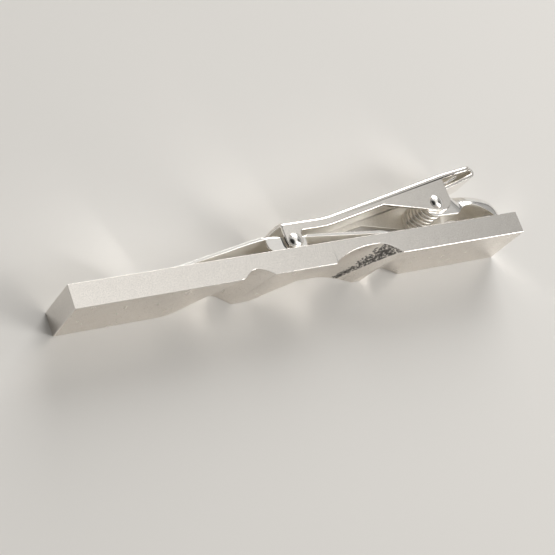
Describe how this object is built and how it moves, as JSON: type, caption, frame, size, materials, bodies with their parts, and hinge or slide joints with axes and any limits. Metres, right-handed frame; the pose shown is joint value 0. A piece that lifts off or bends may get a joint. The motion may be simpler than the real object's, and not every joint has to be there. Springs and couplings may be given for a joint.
{
  "type": "tie clip",
  "caption": "Silver tie clip: a carved bar with a sprung lever and a rocking grip strip on its back",
  "frame": {"origin": "middle of the lower long edge face that the bar stands on", "axes": "+X along the bar towards the clip's thumb tab, +Y from the carved front to the clip on the back, +Z across the bar's width, up"},
  "size_m": [0.06, 0.0101, 0.0073],
  "materials": {
    "satin_silver": "silver plated brass, satin",
    "polished_silver": "silver plated brass, polished",
    "spring_steel": "bright drawn wire"
  },
  "bodies": {
    "root": {"bar": "satin_silver", "hinge_bracket": "polished_silver", "main_pin": "polished_silver", "torsion_spring": "spring_steel"},
    "lever": {"clip_lever": "satin_silver", "rocker_pin": "polished_silver"},
    "rocker": {"rocker_strip": "polished_silver"}
  },
  "joints": [
    {"name": "lever_pivot", "type": "hinge", "parent": "root", "child": "lever", "pos_m": [0.0195, 0.00449, 0.00365], "axis": [0, 0, -1], "range_deg": [0, 11], "stiffness_Nm_per_rad": 0.03, "springref_deg": -74.48, "deforming": ["torsion_spring"]},
    {"name": "rocker_pivot", "type": "hinge", "parent": "lever", "child": "rocker", "pos_m": [-0.0015, 0.00248, 0.00365], "axis": [0, 0, -1], "range_deg": [-7, 0]}
  ],
  "couplings": [
    {"joint": "rocker_pivot", "follows": "lever_pivot", "ratio": -0.6}
  ]
}
